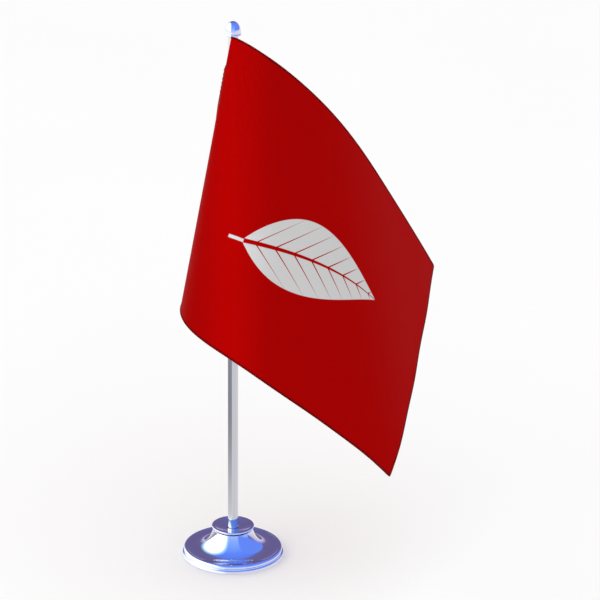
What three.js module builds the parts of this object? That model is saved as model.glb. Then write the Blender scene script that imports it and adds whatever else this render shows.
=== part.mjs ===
// A desk flag stand: a weighted chromed base, a clamped tubular pole with a pull-off finial,
// and a small flag whose sewn sleeve turns freely on the pole.
// Millimetres, +Z up. The origin is the centre of the underside, on the pole's axis.

import * as THREE from "three";

// ---- Driving dimensions ----

const totalHeight = 330;
const fitGap = 0.3; // left between pieces that touch
const roundSides = 48; // facets around the base
const slimSides = 24; // facets around the pole and its small fittings
const bellSteps = 14; // facets down the side of the bell

const pad = { thickness: 1.0, inset: 1.0 }; // set in from the cover's edge
const cover = { thickness: 1.2, edge: 0.7 };

const base = {
  diameter: 60,
  lift: 0.6, // the rim's height above the table
  wall: 1.6,
  rimWall: 2.4, // outside of the rim to the bore that the cover fits
  bandHeight: 1.7,
  bandRound: 0.4,
  grooveDepth: 1.1,
  grooveHeight: 0.5,
  beadRadius: 1.5,
  beadInset: 2.1, // from the rim's outside to the middle of the bead
  beadReach: 60, // the bead's arc ends this many degrees below and past its widest and highest points
  neckDiameter: 23.2,
  crownThickness: 3.6,
  dishRun: 5.2, // how far the dish holds its slope, inwards from the bead
  dishFall: 1.2,
  flareRun: 3.4, // how far the foot of the bell stands outside the neck
  flareHeight: 5.0,
  bossWall: 1.8,
};

const weight = { diameter: 40, clearance: 0.6, web: 2.0 };

const socket = {
  spigotDiameter: 15,
  spigotDepth: 5.6,
  floor: 1.6,
  stemDiameter: 21.6,
  stemHeight: 0.5,
  lipDiameter: 25.2,
  lipHeight: 1.1,
  lipUndercut: 0.5, // how far the lip's underside slopes up
  lipRound: 0.5,
  rimWidth: 1.6,
  dishDepth: 1.5,
  dishSteps: 4,
};

const pole = { diameter: 6, wall: 0.5 };
const stud = { threadDiameter: 4, gripLength: 18, point: 0.4 };
const flatWasher = { diameter: 9, thickness: 0.8 };
const springWasher = { diameter: 7.6, thickness: 1.0, slit: 1.0 };
const nut = { acrossFlats: 7, height: 3.2, wellPlay: 0.5 };

const finial = {
  height: 8,
  capDepth: 3, // how far the cap reaches down over the pole
  wall: 1.1,
  ceiling: 5,
  skirtFlare: 0.25,
  skirtHeight: 0.6,
  skirtSag: 0.3, // the share of the flare that is left halfway up to the waist
  waist: 1.6,
  shoulder: 2,
};
const plug = { headHeight: 1.4, pinLength: 12, lead: 0.5 };

const stopRing = { height: 3, wall: 1.2 };

const flag = {
  hoist: 150,
  fly: 225,
  thickness: 0.5,
  topClearance: 1.0, // below the finial
  pocketDrop: 17, // the sewn pocket starts this far below the cloth's top corner
  sleeveWall: 0.6,
  sleevePlay: 0.4, // between the sleeve and the pole
};

// How the cloth hangs. Around the top hoist corner it is a cone, and past the cone's last ruling it
// is a cylinder, so a flat cloth takes this shape without stretching. Angles are in degrees.
const drape = {
  apexAbove: 4, // the cone's apex, above the cloth's top corner
  coneAngle: 43.5, // the share of the cloth, seen from the apex, that the cone takes
  startHeading: 158, // which way the cloth leaves the sleeve, from +X towards +Y
  coneBends: [9.5, 4, 7.5, -3], // turn per unit of angle at the apex, at even steps
  sweepBends: [0.011, 0.01, 0, 0.002], // curvature per millimetre, at even steps
  crown: 6, // how far the top edge gives upwards, on the bias of the weave
  crownDepth: 50, // the distance down the cloth over which that fades
  crownSkew: 0.5, // below 1 the give is greatest nearer the hoist
};
const drapeSteps = 96; // straight steps in each half of the curve that the cloth follows
const clothColumns = 36;
const clothRows = 22;
const hoistCrowding = 1.5; // columns are closer together towards the hoist

// ---- Heights and radii that follow from them ----

const baseRadius = base.diameter / 2;
const boreRadius = baseRadius - base.rimWall;
const coverRadius = boreRadius - fitGap;
const coverBottom = pad.thickness + fitGap;
const coverTop = coverBottom + cover.thickness;
const weightBottom = coverTop + fitGap;
const nutTop = weightBottom + nut.height;
const springWasherTop = nutTop + fitGap + springWasher.thickness;
const flatWasherTop = springWasherTop + fitGap + flatWasher.thickness;
const wellTop = flatWasherTop + fitGap;
const wellRadius = flatWasher.diameter / 2 + nut.wellPlay;
const weightTop = wellTop + weight.web;
const spigotBottom = weightTop + fitGap;
const neckHeight = spigotBottom + socket.spigotDepth;
const flangeBottom = neckHeight + fitGap;
const stemTop = flangeBottom + socket.stemHeight;
const lipTop = stemTop + socket.lipUndercut + socket.lipHeight;
const bandTop = base.lift + base.bandHeight;
const beadAngle = THREE.MathUtils.degToRad(base.beadReach);
const beadMiddle = bandTop + base.grooveHeight + base.beadRadius * Math.sin(beadAngle);
const poleRadius = pole.diameter / 2;
const poleBore = poleRadius - pole.wall;
const poleBottom = spigotBottom + socket.floor + fitGap;
const slipRadius = poleRadius + fitGap; // of whatever slips over the pole
const finialBottom = totalHeight - finial.height;
const poleTop = finialBottom + finial.capDepth;
const studHole = stud.threadDiameter / 2 + fitGap;
const hoistTop = finialBottom - flag.topClearance;
const sleeveInner = poleRadius + flag.sleevePlay;
const sleeveOuter = sleeveInner + flag.sleeveWall;

// ---- Shape helpers ----

/** A solid turned about Z from a profile of [radius, height] points. */
function turned(profile, sides) {
  const points = profile.map(([radius, height]) => new THREE.Vector2(radius, height));
  return new THREE.LatheGeometry(points, sides).rotateX(Math.PI / 2);
}

/** A plain round ring, or a disc when the inner radius is 0. */
function ring(innerRadius, outerRadius, bottom, top, sides) {
  const profile = [
    [innerRadius, bottom],
    [outerRadius, bottom],
    [outerRadius, top],
    [innerRadius, top],
  ];
  if (innerRadius > 0) profile.push([innerRadius, bottom]);
  return turned(profile, sides);
}

/** Points on an arc about [radius, height], between two angles in degrees from the outward direction. */
function arc(centreRadius, centreHeight, size, fromAngle, toAngle, steps) {
  return Array.from({ length: steps + 1 }, (_, i) => {
    const angle = THREE.MathUtils.degToRad(fromAngle + ((toAngle - fromAngle) * i) / steps);
    return [centreRadius + size * Math.cos(angle), centreHeight + size * Math.sin(angle)];
  });
}

/** The part of a profile that runs inwards and upwards, below a height and inside a radius. */
function clipped(profile, largestRadius, topHeight) {
  const kept = [];
  for (let i = 1; i < profile.length; i++) {
    const [r0, z0] = profile[i - 1];
    const [r1, z1] = profile[i];
    if (r1 > largestRadius || z0 >= topHeight) continue;
    const enter = r0 > largestRadius ? (r0 - largestRadius) / (r0 - r1) : 0;
    const leave = z1 > topHeight ? (topHeight - z0) / (z1 - z0) : 1;
    if (!kept.length) kept.push([r0 + (r1 - r0) * enter, z0 + (z1 - z0) * enter]);
    kept.push([r0 + (r1 - r0) * leave, z0 + (z1 - z0) * leave]);
  }
  return kept;
}

/** The outside of the dish and bell, moved inwards through the metal by a distance. */
function bellProfile(depth, steps) {
  const start = new THREE.Vector2(
    baseRadius - base.beadInset - base.beadRadius * Math.cos(beadAngle),
    beadMiddle + base.beadRadius * Math.sin(beadAngle),
  );
  const neck = new THREE.Vector2(base.neckDiameter / 2, neckHeight);
  const curve = new THREE.CubicBezierCurve(
    start,
    new THREE.Vector2(start.x - base.dishRun, start.y - base.dishFall),
    new THREE.Vector2(neck.x + base.flareRun, base.flareHeight),
    neck,
  );
  return Array.from({ length: steps + 1 }, (_, i) => {
    const point = curve.getPoint(i / steps);
    const tangent = curve.getTangent(i / steps);
    return [point.x - tangent.y * depth, point.y + tangent.x * depth];
  });
}

// ---- Base pieces ----

function footPad() {
  return ring(0, coverRadius - pad.inset, 0, pad.thickness, roundSides);
}

function baseCover() {
  return turned(
    [
      [0, coverBottom],
      [coverRadius - cover.edge, coverBottom],
      [coverRadius, coverBottom + cover.edge],
      [coverRadius, coverTop],
      [0, coverTop],
    ],
    roundSides,
  );
}

function baseShell() {
  const holeRadius = socket.spigotDiameter / 2 + fitGap;
  const bossRadius = holeRadius + base.bossWall;
  const crownUnderside = neckHeight - base.crownThickness;
  const underside = clipped(bellProfile(base.wall, bellSteps), boreRadius, crownUnderside).reverse();
  return turned(
    [
      [boreRadius, base.lift],
      ...arc(baseRadius - base.bandRound, base.lift + base.bandRound, base.bandRound, -90, 0, 2),
      ...arc(baseRadius - base.bandRound, bandTop - base.bandRound, base.bandRound, 0, 90, 2),
      [baseRadius - base.grooveDepth, bandTop],
      ...arc(
        baseRadius - base.beadInset,
        beadMiddle,
        base.beadRadius,
        -base.beadReach,
        180 - base.beadReach,
        8,
      ),
      ...bellProfile(0, bellSteps).slice(1),
      [holeRadius, neckHeight],
      [holeRadius, spigotBottom],
      [bossRadius, spigotBottom],
      [bossRadius, crownUnderside],
      ...underside,
      [boreRadius, base.lift],
    ],
    roundSides,
  );
}

function weightDisc() {
  const followed = bellProfile(base.wall + weight.clearance, bellSteps);
  const side = clipped(followed, weight.diameter / 2, weightTop);
  return turned(
    [
      [wellRadius, weightBottom],
      [side[0][0], weightBottom],
      ...side,
      [studHole, weightTop],
      [studHole, wellTop],
      [wellRadius, wellTop],
      [wellRadius, weightBottom],
    ],
    roundSides,
  );
}

function socketCup() {
  const lipRadius = socket.lipDiameter / 2;
  const dishEdge = lipRadius - socket.rimWidth;
  const dishFloor = lipTop - socket.dishDepth;
  const dish = Array.from({ length: socket.dishSteps + 1 }, (_, i) => {
    const inwards = i / socket.dishSteps;
    return [
      THREE.MathUtils.lerp(dishEdge, slipRadius, inwards),
      THREE.MathUtils.lerp(lipTop, dishFloor, Math.sin((inwards * Math.PI) / 2)),
    ];
  });
  return turned(
    [
      [studHole, spigotBottom],
      [socket.spigotDiameter / 2, spigotBottom],
      [socket.spigotDiameter / 2, flangeBottom],
      [socket.stemDiameter / 2, flangeBottom],
      [socket.stemDiameter / 2, stemTop],
      [lipRadius - socket.lipRound, stemTop + socket.lipUndercut],
      ...arc(lipRadius - socket.lipRound, lipTop - socket.lipRound, socket.lipRound, 0, 90, 4),
      ...dish,
      [slipRadius, spigotBottom + socket.floor],
      [studHole, spigotBottom + socket.floor],
      [studHole, spigotBottom],
    ],
    roundSides,
  );
}

// ---- Pole and its fastening ----

function poleTube() {
  return ring(poleBore, poleRadius, poleBottom, poleTop, slimSides);
}

function poleStud() {
  const threadRadius = stud.threadDiameter / 2;
  const gripRadius = poleBore - fitGap;
  return turned(
    [
      [0, weightBottom],
      [threadRadius - stud.point, weightBottom],
      [threadRadius, weightBottom + stud.point],
      [threadRadius, poleBottom],
      [gripRadius, poleBottom],
      [gripRadius, poleBottom + stud.gripLength],
      [0, poleBottom + stud.gripLength],
    ],
    slimSides,
  );
}

function clampWasher() {
  const top = flatWasherTop;
  return ring(studHole, flatWasher.diameter / 2, top - flatWasher.thickness, top, slimSides);
}

/** A split ring: an open ring outline, extruded by its thickness. */
function lockWasher() {
  const halfSlit = springWasher.slit / springWasher.diameter;
  const outline = new THREE.Shape();
  outline.absarc(0, 0, springWasher.diameter / 2, halfSlit, 2 * Math.PI - halfSlit, false);
  outline.absarc(0, 0, studHole, 2 * Math.PI - halfSlit, halfSlit, true);
  return new THREE.ExtrudeGeometry(outline, {
    depth: springWasher.thickness,
    bevelEnabled: false,
    curveSegments: slimSides,
  }).translate(0, 0, springWasherTop - springWasher.thickness);
}

function hexNut() {
  const cornerRadius = nut.acrossFlats / 2 / Math.cos(Math.PI / 6);
  const corners = Array.from({ length: 6 }, (_, i) => {
    const angle = (i * Math.PI) / 3;
    return new THREE.Vector2(cornerRadius * Math.cos(angle), cornerRadius * Math.sin(angle));
  });
  const outline = new THREE.Shape(corners);
  outline.holes.push(new THREE.Path().absarc(0, 0, studHole, 0, 2 * Math.PI, true));
  return new THREE.ExtrudeGeometry(outline, {
    depth: nut.height,
    bevelEnabled: false,
    curveSegments: slimSides,
  }).translate(0, 0, weightBottom);
}

// ---- Finial ----

function finialCap() {
  const outer = slipRadius + finial.wall;
  const skirtTop = finialBottom + finial.skirtHeight;
  const shoulder = finialBottom + finial.shoulder;
  const dome = arc(0, 0, 1, 0, 90, 8).map(([across, up]) => [
    outer * across,
    shoulder + (totalHeight - shoulder) * up,
  ]);
  dome[dome.length - 1][0] = 0;
  return turned(
    [
      [0, finialBottom + finial.ceiling],
      [slipRadius, finialBottom + finial.ceiling],
      [slipRadius, finialBottom],
      [outer + finial.skirtFlare, finialBottom],
      [outer + finial.skirtFlare, skirtTop],
      [outer + finial.skirtFlare * finial.skirtSag, (skirtTop + finialBottom + finial.waist) / 2],
      [outer, finialBottom + finial.waist],
      ...dome,
    ],
    slimSides,
  );
}

function finialPlug() {
  const pinRadius = poleBore - fitGap;
  const headBottom = poleTop + fitGap;
  const pinBottom = poleTop - plug.pinLength;
  return turned(
    [
      [0, pinBottom],
      [pinRadius - plug.lead, pinBottom],
      [pinRadius, pinBottom + plug.lead],
      [pinRadius, headBottom],
      [poleRadius, headBottom],
      [poleRadius, headBottom + plug.headHeight],
      [0, headBottom + plug.headHeight],
    ],
    slimSides,
  );
}

// ---- Flag ----

function sleeveStopRing() {
  const top = hoistTop - flag.hoist - fitGap;
  return ring(slipRadius, slipRadius + stopRing.wall, top - stopRing.height, top, slimSides);
}

function hoistSleeve() {
  const top = hoistTop - flag.pocketDrop;
  return ring(sleeveInner, sleeveOuter, hoistTop - flag.hoist, top, slimSides);
}

/** Values given at even steps, read by straight lines at a fraction from 0 to 1. */
function readEvenly(values, fraction) {
  const place = THREE.MathUtils.clamp(fraction, 0, 1) * (values.length - 1);
  const index = Math.min(Math.floor(place), values.length - 2);
  return THREE.MathUtils.lerp(values[index], values[index + 1], place - index);
}

/** Rows of vectors at even steps, read by straight lines at a fraction from 0 to 1. */
function readVector(vectors, fraction) {
  const place = THREE.MathUtils.clamp(fraction, 0, 1) * (vectors.length - 1);
  const index = Math.min(Math.floor(place), vectors.length - 2);
  return vectors[index].clone().lerp(vectors[index + 1], place - index);
}

/** The cone's rulings, from straight down the hoist to the last one, and the sweep that follows. */
function hangCloth() {
  const coneAngle = THREE.MathUtils.degToRad(drape.coneAngle);
  const heading = THREE.MathUtils.degToRad(drape.startHeading);
  const ruling = new THREE.Vector3(0, 0, -1);
  const across = new THREE.Vector3(Math.cos(heading), Math.sin(heading), 0);
  const rulings = [ruling.clone()];
  const step = coneAngle / drapeSteps;
  for (let i = 0; i < drapeSteps; i++) {
    across.applyAxisAngle(ruling, -readEvenly(drape.coneBends, (i + 0.5) / drapeSteps) * step);
    const turnedRuling = ruling.clone().multiplyScalar(Math.cos(step));
    turnedRuling.addScaledVector(across, Math.sin(step));
    across.multiplyScalar(Math.cos(step)).addScaledVector(ruling, -Math.sin(step));
    ruling.copy(turnedRuling);
    rulings.push(ruling.clone());
  }
  const sideways = new THREE.Vector3().crossVectors(ruling, across);
  const sweepLength = flag.fly * Math.cos(coneAngle);
  const stride = sweepLength / drapeSteps;
  const sweep = [new THREE.Vector3()];
  let bend = 0;
  for (let i = 0; i < drapeSteps; i++) {
    bend += readEvenly(drape.sweepBends, (i + 0.5) / drapeSteps) * stride;
    const next = sweep[i].clone().addScaledVector(across, stride * Math.cos(bend));
    sweep.push(next.addScaledVector(sideways, -stride * Math.sin(bend)));
  }
  return { coneAngle, rulings, lastRuling: ruling.clone(), sweep, sweepLength };
}

/** Where a point of the flat cloth hangs: along from the hoist, and down from the top edge. */
function clothPoint(hang, along, down) {
  const below = down + drape.apexAbove;
  const angle = Math.atan2(along, below);
  const point = new THREE.Vector3();
  if (angle <= hang.coneAngle) {
    point.copy(readVector(hang.rulings, angle / hang.coneAngle).normalize());
    point.multiplyScalar(Math.hypot(along, below));
  } else {
    const cosine = Math.cos(hang.coneAngle);
    const sine = Math.sin(hang.coneAngle);
    const sweepPlace = (along * cosine - below * sine) / hang.sweepLength;
    point.copy(readVector(hang.sweep, sweepPlace));
    point.addScaledVector(hang.lastRuling, along * sine + below * cosine);
  }
  const crownPlace = Math.max(along / flag.fly, 0) ** drape.crownSkew;
  point.z += drape.crown * Math.sin(Math.PI * crownPlace) * Math.exp(-down / drape.crownDepth);
  const clothStart = sleeveOuter + fitGap + flag.thickness / 2;
  const standOff = clothStart / Math.abs(Math.cos(THREE.MathUtils.degToRad(drape.startHeading)));
  return point.add(new THREE.Vector3(0, -standOff, hoistTop + drape.apexAbove));
}

/** The cloth's normal, from how the hung point moves for small steps on the flat cloth. */
function clothNormal(hang, along, down) {
  const reach = 0.05;
  const before = clothPoint(hang, Math.max(along - reach, 0), down);
  const after = clothPoint(hang, Math.min(along + reach, flag.fly), down);
  const above = clothPoint(hang, along, Math.max(down - reach, 0));
  const under = clothPoint(hang, along, Math.min(down + reach, flag.hoist));
  return after.sub(before).cross(under.sub(above)).normalize();
}

/** A closed solid: the cloth's two faces on one grid, half a thickness each way, and its edges. */
function flagPanel() {
  const hang = hangCloth();
  const faces = [-0.5, 0.5].map((side) => {
    const points = [];
    for (let i = 0; i <= clothColumns; i++) {
      const along = flag.fly * (i / clothColumns) ** hoistCrowding;
      for (let j = 0; j <= clothRows; j++) {
        const down = (flag.hoist * j) / clothRows;
        const normal = clothNormal(hang, along, down);
        const point = clothPoint(hang, along, down);
        points.push(point.addScaledVector(normal, side * flag.thickness));
      }
    }
    return points;
  });
  const at = (i, j) => i * (clothRows + 1) + j;
  const faceSize = faces[0].length;
  const triangles = [];
  const quad = (a, b, c, d) => triangles.push(a, b, c, a, c, d);
  for (let i = 0; i < clothColumns; i++) {
    for (let j = 0; j < clothRows; j++) {
      quad(at(i, j), at(i, j + 1), at(i + 1, j + 1), at(i + 1, j));
      const back = [at(i, j), at(i + 1, j), at(i + 1, j + 1), at(i, j + 1)];
      quad(...back.map((index) => index + faceSize));
    }
  }
  const border = [];
  for (let i = 0; i < clothColumns; i++) border.push(at(i, 0));
  for (let j = 0; j < clothRows; j++) border.push(at(clothColumns, j));
  for (let i = clothColumns; i > 0; i--) border.push(at(i, clothRows));
  for (let j = clothRows; j > 0; j--) border.push(at(0, j));
  border.forEach((here, k) => {
    const next = border[(k + 1) % border.length];
    quad(here, next, next + faceSize, here + faceSize);
  });
  const geometry = new THREE.BufferGeometry().setFromPoints(faces.flat());
  geometry.setIndex(triangles);
  geometry.computeVertexNormals();
  return geometry;
}

// ---- Materials ----

function finish(color, metalness, roughness) {
  return new THREE.MeshStandardMaterial({ color, metalness, roughness });
}

const chrome = () => finish(0xd4d6de, 1.0, 0.06);
const zincPlate = () => finish(0xb4b6b4, 1.0, 0.35);
const castIron = () => finish(0x3c3d40, 0.8, 0.7);
const blackPlastic = () => finish(0x1b1b1d, 0.0, 0.55);
const whiteNylon = () => finish(0xe6e4dc, 0.0, 0.45);
const clearRubber = () => finish(0xd9dadb, 0.0, 0.5);
const feltCloth = () => finish(0x23252b, 0.0, 0.95);
const redSatin = () => finish(0xa00508, 0.0, 0.5);

// ---- The assembly ----

const group = new THREE.Group();

function add(name, geometry, material) {
  const mesh = new THREE.Mesh(geometry, material);
  mesh.name = name;
  group.add(mesh);
}

add("foot_pad", footPad(), feltCloth());
add("base_cover", baseCover(), blackPlastic());
add("weight_disc", weightDisc(), castIron());
add("base_shell", baseShell(), chrome());
add("socket_cup", socketCup(), chrome());
add("pole_tube", poleTube(), chrome());
add("pole_stud", poleStud(), zincPlate());
add("clamp_washer", clampWasher(), zincPlate());
add("lock_washer", lockWasher(), zincPlate());
add("hex_nut", hexNut(), zincPlate());
add("sleeve_stop_ring", sleeveStopRing(), clearRubber());
add("finial_cap", finialCap(), chrome());
add("finial_plug", finialPlug(), whiteNylon());
add("hoist_sleeve", hoistSleeve(), redSatin());
add("flag_panel", flagPanel(), redSatin());

export default group;
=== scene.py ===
"""A desk flag stand: chromed base and pole, pull-off finial, and a cloth flag sewn round the pole."""

import math

import bmesh
import bpy
import numpy as np
from bpy.props import FloatProperty, FloatVectorProperty, IntProperty, PointerProperty
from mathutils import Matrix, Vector


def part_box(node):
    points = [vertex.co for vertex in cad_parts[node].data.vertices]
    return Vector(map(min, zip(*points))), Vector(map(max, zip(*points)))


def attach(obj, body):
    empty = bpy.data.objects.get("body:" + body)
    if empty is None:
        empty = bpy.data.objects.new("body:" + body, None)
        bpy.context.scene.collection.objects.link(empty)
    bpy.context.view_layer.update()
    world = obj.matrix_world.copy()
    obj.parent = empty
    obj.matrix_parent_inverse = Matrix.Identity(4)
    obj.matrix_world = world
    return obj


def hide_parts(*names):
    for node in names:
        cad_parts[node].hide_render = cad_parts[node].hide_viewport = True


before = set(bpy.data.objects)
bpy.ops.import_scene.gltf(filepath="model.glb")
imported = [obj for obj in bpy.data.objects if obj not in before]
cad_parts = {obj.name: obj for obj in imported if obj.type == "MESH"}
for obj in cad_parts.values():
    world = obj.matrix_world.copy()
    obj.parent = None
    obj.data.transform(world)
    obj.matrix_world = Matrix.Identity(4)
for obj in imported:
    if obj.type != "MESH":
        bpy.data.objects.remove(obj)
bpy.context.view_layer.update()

bl_info = {
    "name": "Desk Flag Stand",
    "version": (1, 0, 0),
    "blender": (4, 5, 0),
    "location": "View3D > Sidebar > Flag Stand",
    "description": "Builds a desk flag stand around its packed parts, piece by piece",
    "category": "Add Mesh",
}

MM = 0.001


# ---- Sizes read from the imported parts, in millimetres ----


def reach_of(node):
    """A turned part's outer radius, and its lowest and highest point."""
    lowest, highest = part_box(node)
    return highest.x / MM, lowest.z / MM, highest.z / MM


BASE_RADIUS, BASE_LIFT, NECK_HEIGHT = reach_of("base_shell")
CUP_RADIUS, SPIGOT_BOTTOM, CUP_TOP = reach_of("socket_cup")
POLE_RADIUS, POLE_BOTTOM, POLE_TOP = reach_of("pole_tube")
PAD_RADIUS, PAD_BOTTOM, PAD_TOP = reach_of("foot_pad")
COVER_RADIUS, COVER_BOTTOM, COVER_TOP = reach_of("base_cover")
STUD_RADIUS, STUD_BOTTOM, STUD_TOP = reach_of("pole_stud")
FLAT_WASHER_RADIUS, FLAT_WASHER_BOTTOM, FLAT_WASHER_TOP = reach_of("clamp_washer")
SPRING_WASHER_RADIUS, SPRING_WASHER_BOTTOM, SPRING_WASHER_TOP = reach_of("lock_washer")
NUT_CORNER, NUT_BOTTOM, NUT_TOP = reach_of("hex_nut")
STOP_RADIUS, STOP_BOTTOM, STOP_TOP = reach_of("sleeve_stop_ring")
FINIAL_RADIUS, FINIAL_BOTTOM, FINIAL_TOP = reach_of("finial_cap")
PLUG_RADIUS, PLUG_BOTTOM, PLUG_TOP = reach_of("finial_plug")
SLEEVE_RADIUS, HOIST_BOTTOM, POCKET_TOP = reach_of("hoist_sleeve")

FIT_GAP = 0.3
POLE_WALL = 0.5
THREAD_RADIUS = 2.0
STUD_HOLE = THREAD_RADIUS + FIT_GAP
FINIAL_WALL = 1.1
FINIAL_SHOULDER = 2.0
CLOTH_BELOW_FINIAL = 1.0
HOIST_TOP = FINIAL_BOTTOM - CLOTH_BELOW_FINIAL
HOIST = HOIST_TOP - HOIST_BOTTOM
POCKET_DROP = HOIST_TOP - POCKET_TOP
FLY = 225.0

# ---- How the cloth hangs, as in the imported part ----

APEX_ABOVE = 4.0
CONE_ANGLE = math.radians(43.5)
START_HEADING = math.radians(158.0)
CONE_BENDS = (9.5, 4.0, 7.5, -3.0)
SWEEP_BENDS = (0.011, 0.01, 0.0, 0.002)
CROWN, CROWN_DEPTH, CROWN_SKEW = 6.0, 50.0, 0.5
DRAPE_STEPS = 96
STAND_OFF = (SLEEVE_RADIUS + FIT_GAP + 0.25) / abs(math.cos(START_HEADING))


# ---- Settings a user would change ----


class StandMetalSettings(bpy.types.PropertyGroup):
    """The turned and plated parts."""

    segments: IntProperty(
        name="Segments", description="Facets around each turned part", default=160, min=24, max=256
    )
    base_tint: FloatVectorProperty(
        name="Base plating", description="Colour of the base and finial plating",
        subtype="COLOR", default=(0.84, 0.85, 0.93), min=0.0, max=1.0,
    )
    pole_tint: FloatVectorProperty(
        name="Pole plating", description="Colour of the pole's plating",
        subtype="COLOR", default=(0.70, 0.70, 0.715), min=0.0, max=1.0,
    )
    thread_pitch: FloatProperty(
        name="Thread pitch", description="Pitch of the stud's thread, in millimetres",
        default=0.7, min=0.3, max=1.5,
    )


class StandFlagSettings(bpy.types.PropertyGroup):
    """The cloth, its print and its sewing."""

    cloth_red: FloatVectorProperty(
        name="Cloth", description="Colour of the cloth",
        subtype="COLOR", default=(0.342, 0.0003, 0.0003), min=0.0, max=1.0,
    )
    print_grey: FloatVectorProperty(
        name="Print", description="Colour of the printed leaf",
        subtype="COLOR", default=(0.55, 0.55, 0.55), min=0.0, max=1.0,
    )
    thickness: FloatProperty(
        name="Cloth thickness", description="Thickness of the cloth",
        default=0.34 * MM, min=0.1 * MM, max=0.6 * MM, unit="LENGTH",
    )
    weave_pitch: FloatProperty(
        name="Weave pitch", description="Distance between threads, in millimetres",
        default=0.42, min=0.1, max=2.0,
    )
    seam_distance: FloatProperty(
        name="Seam", description="From the pocket's start to its seam, in millimetres",
        default=8.5, min=6.0, max=14.0,
    )
    stitch_pitch: FloatProperty(
        name="Stitch length", description="Distance from one stitch to the next, in millimetres",
        default=2.4, min=1.0, max=5.0,
    )


class StandStageSettings(bpy.types.PropertyGroup):
    """The floor and the lights."""

    floor_grey: FloatVectorProperty(
        name="Floor", description="Colour of the floor",
        subtype="COLOR", default=(0.935, 0.935, 0.935), min=0.0, max=1.0,
    )
    ambient: FloatProperty(
        name="Ambient", description="Strength of the even light from all round", default=1.04, min=0.0,
    )
    key_power: FloatProperty(
        name="Side light", description="Power of the soft light from the left",
        default=1.5, min=0.0, unit="POWER",
    )
    band_power: FloatProperty(
        name="Band light", description="Power of the upright beam on the roll of the cloth",
        default=0.0082, min=0.0, unit="POWER",
    )


# ---- Meshes from grids of points ----


def cells(index):
    """The corners of every cell of a grid of point numbers, whose last two axes are the grid's."""
    low, high = index[..., :-1, :], index[..., 1:, :]
    corners = [low[..., :-1], high[..., :-1], high[..., 1:], low[..., 1:]]
    return np.stack(corners, -1).reshape(-1, 4)


def surface(name, points, sharp=40.0, uv=None, closed=True):
    """The object for a grid of points in millimetres, or a stack of grids, whose last two axes are
    the surface's two parameters, smooth up to an angle in degrees. Rows that meet, and rows drawn
    together at a pole, are merged. A closed one is turned to face outwards by its volume's sign."""
    shape = points.shape[:-1]
    quads = cells(np.arange(math.prod(shape)).reshape(shape))
    mesh = bpy.data.meshes.new(name)
    mesh.from_pydata((points.reshape(-1, 3) * MM).tolist(), [], quads.tolist())
    if uv is not None:
        layer = mesh.uv_layers.new(name="cloth")
        layer.uv.foreach_set("vector", uv.reshape(-1, 2)[quads.ravel()].ravel())
    work = bmesh.new()
    work.from_mesh(mesh)
    bmesh.ops.remove_doubles(work, verts=work.verts, dist=1e-7)
    if closed and work.calc_volume(signed=True) < 0:
        bmesh.ops.reverse_faces(work, faces=work.faces)
    work.to_mesh(mesh)
    work.free()
    mesh.shade_smooth()
    mesh.set_sharp_from_angle(angle=math.radians(sharp))
    piece = bpy.data.objects.new(name, mesh)
    bpy.context.scene.collection.objects.link(piece)
    return piece


def unit(vectors):
    """The same directions, one long."""
    return vectors / np.linalg.norm(vectors, axis=-1, keepdims=True)


def rounded(corners, steps=8, closed=False):
    """A profile of corners (radius, height, rounding). A rounded corner becomes the arc that touches
    both of its sides: it starts rounding / tan(half the corner's angle) before the corner."""
    profile = []
    count = len(corners)
    for i, (radius, height, rounding) in enumerate(corners):
        here = np.array([radius, height])
        if rounding == 0 or (not closed and i in (0, count - 1)):
            profile.append(here[None])
            continue
        before = np.array(corners[i - 1][:2]) - here
        after = np.array(corners[(i + 1) % count][:2]) - here
        shortest = min(np.linalg.norm(before), np.linalg.norm(after))
        before, after = unit(before), unit(after)
        half = math.acos(np.clip(before @ after, -1, 1)) / 2
        start = min(rounding / math.tan(half), 0.48 * shortest)
        inwards = unit(before + after)
        centre = here + inwards * start / math.cos(half)
        sweep = math.pi - 2 * half
        share = np.linspace(0, 1, steps + 1)[:, None]
        first, last = here + before * start - centre, here + after * start - centre
        arc = np.sin((1 - share) * sweep) * first + np.sin(share * sweep) * last
        profile.append(centre + arc / math.sin(sweep))
    profile = np.concatenate(profile)
    return np.concatenate([profile, profile[:1]]) if closed else profile


def ring_section(bore, outer, bottom, top, roundings, steps):
    """A ring's closed section, from the foot of its bore outwards, with a rounding for each corner."""
    corners = [(bore, bottom), (outer, bottom), (outer, top), (bore, top)]
    rounds = [(*corner, rounding) for corner, rounding in zip(corners, roundings)]
    return rounded(rounds, steps, closed=True)


def filled_in(profile, longest):
    """The same profile with points added, so that no step is longer than this."""
    lengths = np.linalg.norm(np.diff(profile, axis=0), axis=1)
    counts = np.maximum(np.ceil(lengths / longest).astype(int), 1)
    owner = np.repeat(np.arange(len(counts)), counts)
    within = np.arange(counts.sum()) - np.repeat(np.cumsum(counts) - counts, counts)
    share = (within / counts[owner])[:, None]
    points = profile[owner] * (1 - share) + profile[owner + 1] * share
    return np.concatenate([points, profile[-1:]])


def polar(radius, angle, height):
    """Points at each radius and angle round Z, and each height."""
    return np.stack([radius * np.cos(angle), radius * np.sin(angle), height + 0 * angle], -1)


def carried_round(radius, angle, height):
    """Points all round Z. The last column is the first again."""
    points = polar(radius, angle, height)
    points[:, -1] = points[:, 0]
    return points


def capped(rings):
    """Rings of points, with a ring drawn together at the middle of each end."""
    middle = rings[:, :-1].mean(1, keepdims=True) + 0 * rings
    return np.concatenate([middle[:1], rings, middle[-1:]])


def turned(name, profile, segments, longest=1.0, sharp=40.0):
    """A solid of revolution: (radius cos a, radius sin a, height) for every angle a round Z."""
    profile = filled_in(np.asarray(profile, float), longest)
    angle = np.linspace(0, 2 * math.pi, segments + 1)
    return surface(name, carried_round(profile[:, :1], angle, profile[:, 1:]), sharp)


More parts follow.
